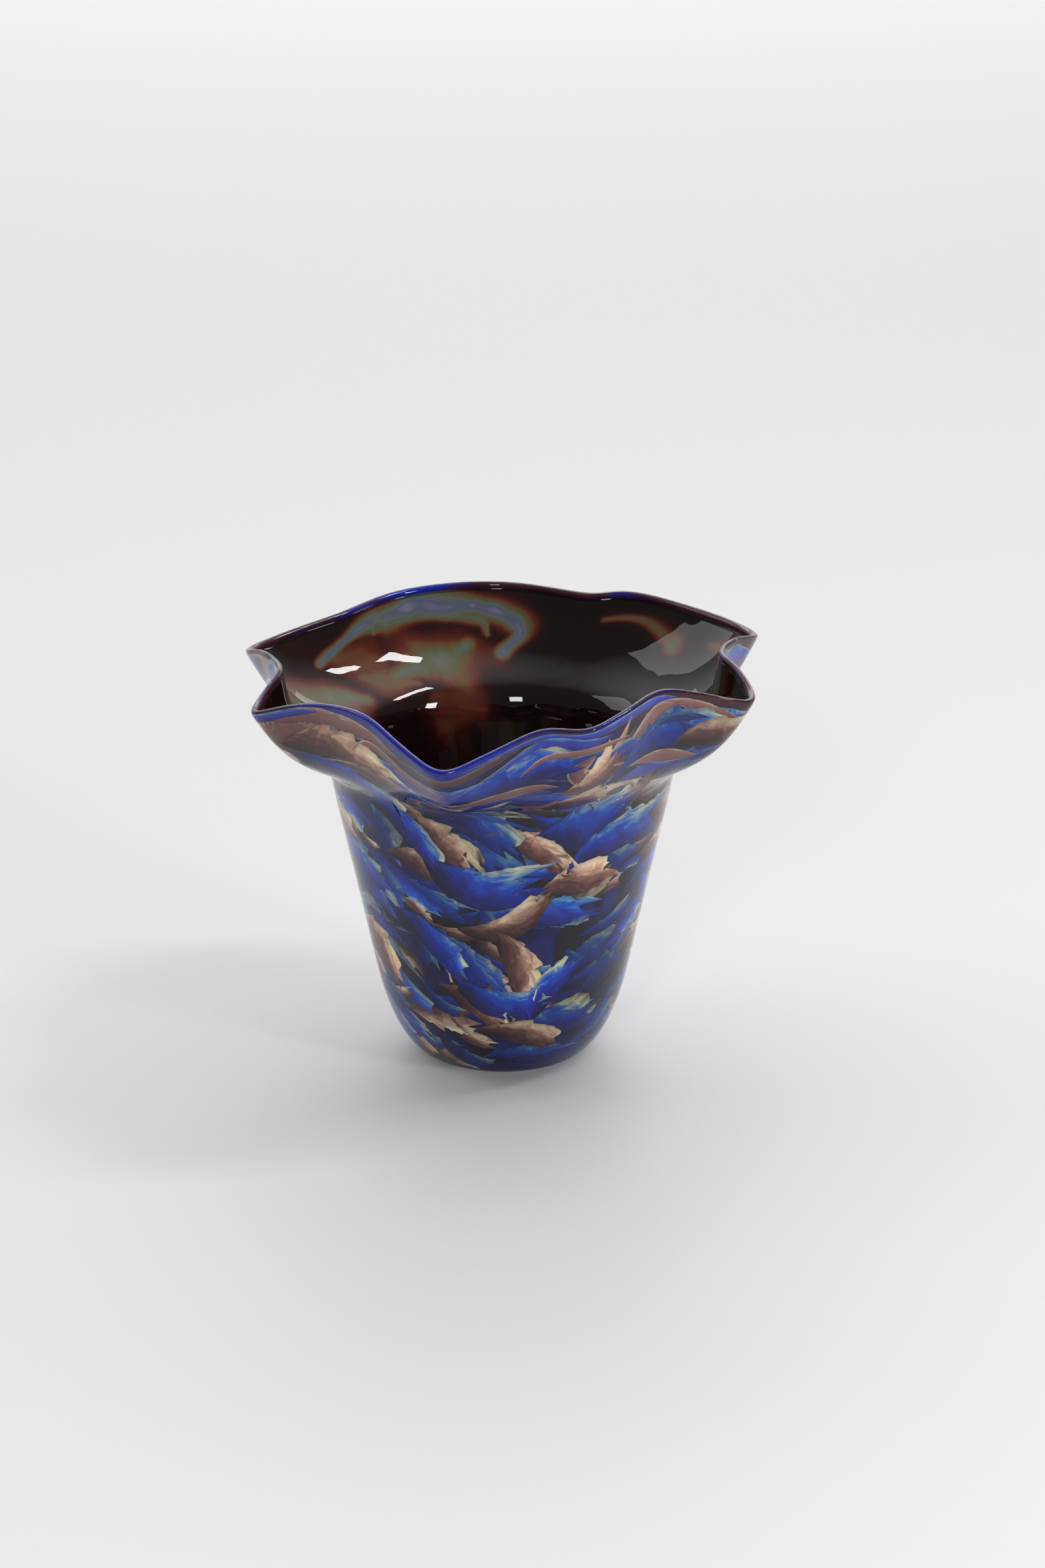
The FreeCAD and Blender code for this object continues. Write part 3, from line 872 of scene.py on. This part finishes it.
print("subdivision level of a seed", FACETS)

# %% [markdown]
# ## Tools for the materials
# Every glass is a small node tree.  These helpers make an empty material, add a node with
# its values, set a colour ramp and mix two colours.

# %% Tools for the materials
def new_material(name):
    """An empty material, its node tree and its output."""
    material = bpy.data.materials.new(name)
    material.use_nodes = True
    tree = material.node_tree
    tree.nodes.clear()
    output = tree.nodes.new("ShaderNodeOutputMaterial")
    return material, tree, output


def add(tree, kind, **values):
    """A new node with its settings and its socket values."""
    node = tree.nodes.new(kind)
    for key, value in values.items():
        if hasattr(node, key):
            setattr(node, key, value)
        else:
            node.inputs[key.replace("_", " ")].default_value = value
    return node


def ramp(tree, stops, source):
    """A colour ramp over a value."""
    node = tree.nodes.new("ShaderNodeValToRGB")
    elements = node.color_ramp.elements
    while len(elements) < len(stops):
        elements.new(0.5)
    for element, (position, colour) in zip(elements, stops):
        element.position = position
        element.color = (*colour, 1.0)
    tree.links.new(source, node.inputs["Fac"])
    return node


def blend(tree, factor, first, second, kind="MIX"):
    """Mix or multiply two colours; without a factor the second is used in full."""
    node = add(tree, "ShaderNodeMix", data_type="RGBA", blend_type=kind)
    if factor is None:
        node.inputs["Factor"].default_value = 1.0
    else:
        tree.links.new(factor, node.inputs["Factor"])
    tree.links.new(first, node.inputs[6])
    tree.links.new(second, node.inputs[7])
    return node.outputs[2]


print("materials so far", len(bpy.data.materials))

# %% [markdown]
# ## Clear glass
# The casing and the seal are colourless.  A Principled shader with full transmission bends
# what is behind it.  A lamp's light would stop at such a skin and leave the chips in the
# dark, so for shadow rays the shader is swapped for a plain transparent one.

# %% Clear glass
def clear_glass():
    """Colourless polished glass that still lets the lamps reach what it covers."""
    material, tree, output = new_material("clear_glass")
    glass = add(tree, "ShaderNodeBsdfPrincipled", Base_Color=(0.97, 0.98, 1.0, 1.0), Roughness=0.0,
                IOR=1.5)
    glass.inputs["Transmission Weight"].default_value = 1.0
    through = add(tree, "ShaderNodeBsdfTransparent", Color=(0.95, 0.96, 0.98, 1.0))
    path = tree.nodes.new("ShaderNodeLightPath")
    mix = tree.nodes.new("ShaderNodeMixShader")
    tree.links.new(path.outputs["Is Shadow Ray"], mix.inputs["Fac"])
    tree.links.new(glass.outputs["BSDF"], mix.inputs[1])
    tree.links.new(through.outputs["BSDF"], mix.inputs[2])
    tree.links.new(mix.outputs["Shader"], output.inputs["Surface"])
    return material


CLEAR = clear_glass()
print("material", CLEAR.name)

# %% [markdown]
# ## Chip glass
# A chip has a painted highlight, pale and nearly cream, along its torn edge, then its own
# colour, then painted shade, near black, where it runs under its neighbours.  A stored number
# says how far a place lies from the lit edge into the painted shade, and noise stretched along
# the chip drags it into streaks.  Three palettes are mixed: warm, cool, and a smooth one for
# the ribbons.

# %% Chip glass
def flake_material(name, warm_stops, cool_stops, glaze_stops):
    """Chip glass: a painted highlight where it tore, then its own colour, then painted shade."""
    material, tree, output = new_material(name)
    field = {label: add(tree, "ShaderNodeAttribute", attribute_name=label).outputs["Fac"]
             for label in ("along", "highlight_to_shade", "tone", "edge", "glaze")}
    place = tree.nodes.new("ShaderNodeCombineXYZ")
    wide = add(tree, "ShaderNodeMath", operation="MULTIPLY")
    wide.inputs[1].default_value = 1.5
    tree.links.new(field["highlight_to_shade"], wide.inputs[0])
    tree.links.new(field["along"], place.inputs["X"])
    tree.links.new(wide.outputs["Value"], place.inputs["Y"])
    tree.links.new(field["tone"], place.inputs["Z"])
    wisps = add(tree, "ShaderNodeTexNoise", Scale=3.2, Detail=8.0, Roughness=0.62, Distortion=0.9)
    tree.links.new(place.outputs["Vector"], wisps.inputs["Vector"])
    shift = add(tree, "ShaderNodeMapRange")
    shift.inputs["To Min"].default_value = -0.36
    shift.inputs["To Max"].default_value = 0.36
    tree.links.new(wisps.outputs["Fac"], shift.inputs["Value"])
    # The painted light number, streaked: low values give the painted highlight, high ones the painted
    # shade.
    torn = add(tree, "ShaderNodeMath", operation="ADD")
    tree.links.new(field["highlight_to_shade"], torn.inputs[0])
    tree.links.new(shift.outputs["Result"], torn.inputs[1])
    warm = ramp(tree, warm_stops, torn.outputs["Value"])
    cool = ramp(tree, cool_stops, torn.outputs["Value"])
    chipped = blend(tree, field["edge"], warm.outputs["Color"], cool.outputs["Color"])
    smooth = ramp(tree, glaze_stops, torn.outputs["Value"])
    colour = blend(tree, field["glaze"], chipped, smooth.outputs["Color"])
    # Each flake's tone is random, but low in the patch of painted shade on the lower body; it darkens
    # or lightens the colour.
    shade = add(tree, "ShaderNodeMapRange")
    shade.inputs["To Min"].default_value = 0.48
    shade.inputs["To Max"].default_value = 1.50
    tree.links.new(field["tone"], shade.inputs["Value"])
    toned = blend(tree, None, colour, shade.outputs["Result"], "MULTIPLY")
    fine = add(tree, "ShaderNodeTexNoise", Scale=220.0, Detail=4.0)
    coordinates = tree.nodes.new("ShaderNodeTexCoord")
    tree.links.new(coordinates.outputs["Object"], fine.inputs["Vector"])
    grain = add(tree, "ShaderNodeMapRange")
    grain.inputs["To Min"].default_value = 0.70
    grain.inputs["To Max"].default_value = 1.30
    tree.links.new(fine.outputs["Fac"], grain.inputs["Value"])
    final = blend(tree, None, toned, grain.outputs["Result"], "MULTIPLY")
    surface = add(tree, "ShaderNodeBsdfPrincipled", Roughness=0.6)
    surface.inputs["Specular IOR Level"].default_value = 0.0
    tree.links.new(final, surface.inputs["Base Color"])
    tree.links.new(surface.outputs["BSDF"], output.inputs["Surface"])
    return material


# In each palette the first, pale stops are the painted highlight and the darkest stops the painted
# shade.
COBALT = flake_material(
    "cobalt_glass",
    [(0.0, (0.90, 0.80, 0.48)), (0.10, (0.62, 0.62, 0.46)), (0.18, (0.10, 0.26, 0.50)),
     (0.28, (0.012, 0.070, 0.50)), (0.48, (0.008, 0.02, 0.32)), (0.70, (0.006, 0.008, 0.10)),
     (1.0, (0.006, 0.004, 0.016))],
    [(0.0, (0.48, 0.66, 0.64)), (0.10, (0.14, 0.38, 0.58)), (0.22, (0.014, 0.10, 0.52)),
     (0.44, (0.010, 0.03, 0.34)), (0.68, (0.006, 0.010, 0.11)), (1.0, (0.006, 0.004, 0.016))],
    [(0.0, (0.36, 0.52, 0.58)), (0.08, (0.11, 0.26, 0.50)), (0.24, (0.03, 0.06, 0.42)),
     (0.55, (0.050, 0.05, 0.36)), (0.9, (0.02, 0.02, 0.16)), (1.0, (0.10, 0.12, 0.28))])
ROSE = flake_material(
    "rose_glass",
    [(0.0, (0.98, 0.90, 0.60)), (0.15, (0.88, 0.72, 0.50)), (0.28, (0.56, 0.36, 0.25)),
     (0.42, (0.22, 0.10, 0.080)), (0.62, (0.08, 0.028, 0.028)), (1.0, (0.010, 0.004, 0.010))],
    [(0.0, (0.74, 0.76, 0.60)), (0.10, (0.56, 0.50, 0.42)), (0.24, (0.36, 0.22, 0.18)),
     (0.44, (0.18, 0.09, 0.08)), (0.68, (0.06, 0.024, 0.03)), (1.0, (0.010, 0.005, 0.014))],
    [(0.0, (0.70, 0.66, 0.50)), (0.06, (0.48, 0.38, 0.30)), (0.20, (0.26, 0.13, 0.11)),
     (0.62, (0.20, 0.09, 0.085)), (0.92, (0.12, 0.05, 0.06)), (1.0, (0.30, 0.24, 0.24))])
print("materials", COBALT.name, ROSE.name)

# %% [markdown]
# ## Dark glass from outside
# Behind the chips the plum gather looks black, with slow drifts of navy and violet where
# colour bled into it.  Close to the lip the glass is thin, so its plum and cobalt show.

# %% Dark glass from outside
def ground_material():
    """The dark gather seen from outside: black plum with drifts of navy and violet."""
    material, tree, output = new_material("dark_glass_outside")
    coordinates = tree.nodes.new("ShaderNodeTexCoord")
    drift = add(tree, "ShaderNodeTexNoise", Scale=22.0, Detail=5.0, Distortion=0.9)
    tree.links.new(coordinates.outputs["Object"], drift.inputs["Vector"])
    ground = ramp(tree, [(0.34, (0.010, 0.004, 0.010)), (0.46, (0.006, 0.005, 0.030)),
                         (0.58, (0.010, 0.016, 0.19)), (0.68, (0.016, 0.012, 0.12)),
                         (0.80, (0.008, 0.004, 0.020))], drift.outputs["Fac"])
    lip = add(tree, "ShaderNodeAttribute", attribute_name="glow").outputs["Fac"]
    streak = add(tree, "ShaderNodeTexNoise", Scale=9.0, Detail=3.0)
    tree.links.new(coordinates.outputs["Object"], streak.inputs["Vector"])
    edge = ramp(tree, [(0.42, (0.075, 0.018, 0.026)), (0.52, (0.035, 0.010, 0.022)),
                       (0.60, (0.012, 0.020, 0.30))], streak.outputs["Fac"])
    limited = add(tree, "ShaderNodeMath", operation="MULTIPLY", use_clamp=True)
    limited.inputs[1].default_value = 1.0
    tree.links.new(lip, limited.inputs[0])
    colour = blend(tree, limited.outputs["Value"], ground.outputs["Color"], edge.outputs["Color"])
    surface = add(tree, "ShaderNodeBsdfPrincipled", Roughness=0.6)
    surface.inputs["Specular IOR Level"].default_value = 0.0
    tree.links.new(colour, surface.inputs["Base Color"])
    tree.links.new(surface.outputs["BSDF"], output.inputs["Surface"])
    return material


GROUND = ground_material()
print("material", GROUND.name)

# %% [markdown]
# ## Dark glass from inside
# Nothing covers the inside, so here the dark glass has its own gloss.  The ghosts are painted
# light glowing through: as they get stronger they climb from black through red and amber to
# green, grey and violet.

# %% Dark glass from inside
def inside_material():
    """The inside of the vase: glossy black plum, with the painted light of the chips glowing through
    it.
    """
    material, tree, output = new_material("dark_glass_inside")
    coordinates = tree.nodes.new("ShaderNodeTexCoord")
    glow = add(tree, "ShaderNodeAttribute", attribute_name="glow").outputs["Fac"]
    drift = add(tree, "ShaderNodeTexNoise", Scale=34.0, Detail=4.0, Distortion=1.4)
    tree.links.new(coordinates.outputs["Object"], drift.inputs["Vector"])
    waver = add(tree, "ShaderNodeMapRange")
    waver.inputs["To Min"].default_value = 0.55
    waver.inputs["To Max"].default_value = 1.35
    tree.links.new(drift.outputs["Fac"], waver.inputs["Value"])
    amount = add(tree, "ShaderNodeMath", operation="MULTIPLY")
    tree.links.new(glow, amount.inputs[0])
    tree.links.new(waver.outputs["Result"], amount.inputs[1])
    # Painted light: the glow of the chips through the thin glass, turned into base colour.
    ghost = ramp(tree, [(0.0, (0.010, 0.004, 0.004)), (0.14, (0.030, 0.005, 0.005)),
                        (0.30, (0.13, 0.026, 0.014)), (0.44, (0.17, 0.085, 0.04)),
                        (0.58, (0.12, 0.13, 0.065)), (0.74, (0.15, 0.17, 0.14)),
                        (0.88, (0.12, 0.14, 0.22)), (1.0, (0.24, 0.21, 0.30))],
                 amount.outputs["Value"])
    surface = add(tree, "ShaderNodeBsdfPrincipled", Roughness=0.02, IOR=1.5)
    tree.links.new(ghost.outputs["Color"], surface.inputs["Base Color"])
    tree.links.new(surface.outputs["BSDF"], output.inputs["Surface"])
    return material


INSIDE_GLASS = inside_material()
print("material", INSIDE_GLASS.name)

# %% [markdown]
# ## Air
# A seed is air inside glass, so its index of refraction is one over that of glass.

# %% Seeds made real
def bubble_material():
    """A bubble is a bead of air in the glass, so light bends the other way."""
    material, tree, output = new_material("seed_air")
    coordinates = tree.nodes.new("ShaderNodeTexCoord")
    cloud = add(tree, "ShaderNodeTexNoise", Scale=60.0)
    tree.links.new(coordinates.outputs["Object"], cloud.inputs["Vector"])
    tint = ramp(tree, [(0.3, (0.90, 0.92, 0.95)), (0.7, (1.0, 1.0, 1.0))], cloud.outputs["Fac"])
    air = add(tree, "ShaderNodeBsdfPrincipled", Roughness=0.0, IOR=0.667)
    air.inputs["Transmission Weight"].default_value = 1.0
    tree.links.new(tint.outputs["Color"], air.inputs["Base Color"])
    tree.links.new(air.outputs["BSDF"], output.inputs["Surface"])
    return material


AIR = bubble_material()
seeds = scatter_seeds(AIR)
print("seeds", len(seeds.data.polygons), "faces")

# %% [markdown]
# ## Giving each piece its glass
# The dark gather has two glasses: one for the skin under the casing and one for the inside
# of the vase.  The skins meet in the lip.  The seal keeps the frame's own shape and takes
# the clear glass.

# %% Giving each piece its glass
for piece, material in ((casing, CLEAR), (cobalt, COBALT), (rose, ROSE), (gather, GROUND)):
    piece.data.materials.append(material)
gather.data.materials.append(INSIDE_GLASS)
for index in range(len(gather.data.polygons)):
    inside_face = outside_faces <= index < (len(gather_rows) - 1) * COLUMNS
    gather.data.polygons[index].material_index = int(inside_face)
last_fan = [p for p in gather.data.polygons if len(gather.data.vertices) - 1 in p.vertices]
for polygon in last_fan:
    polygon.material_index = 1
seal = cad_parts["punty_seal"]
seal.data.materials.clear()
seal.data.materials.append(CLEAR)
print("faces on the inside", sum(p.material_index for p in gather.data.polygons))

# %% [markdown]
# ## Riding and replacing
# Each piece stands for one node of the frame and moves with the one rigid body.  The seeds
# stand for nothing in the frame, and only ride.

# %% Riding and replacing
for piece, node, finish in ((casing, "clear_casing", "clear_glass"),
                            (cobalt, "cobalt_chips", "cobalt_glass"),
                            (rose, "rose_chips", "rose_glass"),
                            (gather, "inner_gather", "dark_glass")):
    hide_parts(node)
    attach(piece, body)
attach(seeds, body)
print("riding on", body)

# %% [markdown]
# ## The table
# The vase stands on a seamless pale table, wide enough for its edge to stay out of view.

# %% Table
TABLE_SIZE = 24.0


def plane(name, size):
    """A level square at height zero."""
    half = size / 2.0
    mesh = bpy.data.meshes.new(name)
    corners = [(-half, -half, 0.0), (half, -half, 0.0), (half, half, 0.0), (-half, half, 0.0)]
    mesh.from_pydata(corners, [], [(0, 1, 2, 3)])
    return link(name, mesh)


table = plane("table", TABLE_SIZE)
table_paint, tree, output = new_material("table_paint")
surface = add(tree, "ShaderNodeBsdfPrincipled", Base_Color=(0.80, 0.795, 0.79, 1.0), Roughness=0.55)
tree.links.new(surface.outputs["BSDF"], output.inputs["Surface"])
table.data.materials.append(table_paint)
print("table", TABLE_SIZE, "m wide")

# %% [markdown]
# ## Lamps
# The dark inside of the vase mirrors every lamp, so the lamps are few and small, and each
# makes one clean window of light.  A large one far behind only lights the table.

# %% Lamps
def softbox(name, place, look_at, width, height, power):
    """A white rectangular lamp that faces a point; sizes in metres, power in watts."""
    lamp = bpy.data.lights.new(name, "AREA")
    lamp.shape = "RECTANGLE"
    lamp.size = width
    lamp.size_y = height
    lamp.energy = power
    item = bpy.data.objects.new(name, lamp)
    item.location = place
    item.rotation_euler = (Vector(look_at) - Vector(place)).to_track_quat("-Z", "Y").to_euler()
    scene.collection.objects.link(item)
    return item


softbox("window_right", (1.35, 0.1, 2.1), (0, 0, 0.1), 0.24, 0.9, 12)
softbox("low_right", (1.45, -1.1, 0.85), (0, 0, 0.15), 0.28, 0.36, 6.5)
softbox("umbrella", (-0.35, -1.95, 1.15), (0, 0, 0.15), 0.32, 0.42, 7)
softbox("side_panel", (-2.0, 0.3, 1.7), (0, 0, 0.1), 1.2, 1.2, 8)
softbox("backdrop", (0.0, 5.0, 3.2), (0, 4.6, 0.0), 6.0, 3.0, 100)

# %% [markdown]
# ## The studio round the vase
# The rest of the light is an even dome, bright above and behind and dim towards the front,
# so that the front of the vase keeps its deep colours.

# %% Studio dome
DOME_FACING = (0.0, 0.75, 0.66)
DOME_STRENGTH = 1.10
world = bpy.data.worlds.new("studio")
scene.world = world
world.use_nodes = True
nodes = world.node_tree.nodes
links = world.node_tree.links
sky = nodes.new("ShaderNodeTexCoord")
facing = nodes.new("ShaderNodeVectorMath")
facing.operation = "DOT_PRODUCT"
facing.inputs[1].default_value = DOME_FACING
links.new(sky.outputs["Generated"], facing.inputs[0])
dome = nodes.new("ShaderNodeValToRGB")
dome.color_ramp.elements[0].position = 0.35
dome.color_ramp.elements[0].color = (0.13, 0.13, 0.13, 1.0)
dome.color_ramp.elements[1].position = 0.85
dome.color_ramp.elements[1].color = (1.0, 0.99, 1.0, 1.0)
links.new(facing.outputs["Value"], dome.inputs["Fac"])
links.new(dome.outputs["Color"], nodes["Background"].inputs["Color"])
nodes["Background"].inputs["Strength"].default_value = DOME_STRENGTH
scene.view_settings.view_transform = "Standard"
print("dome strength", DOME_STRENGTH)
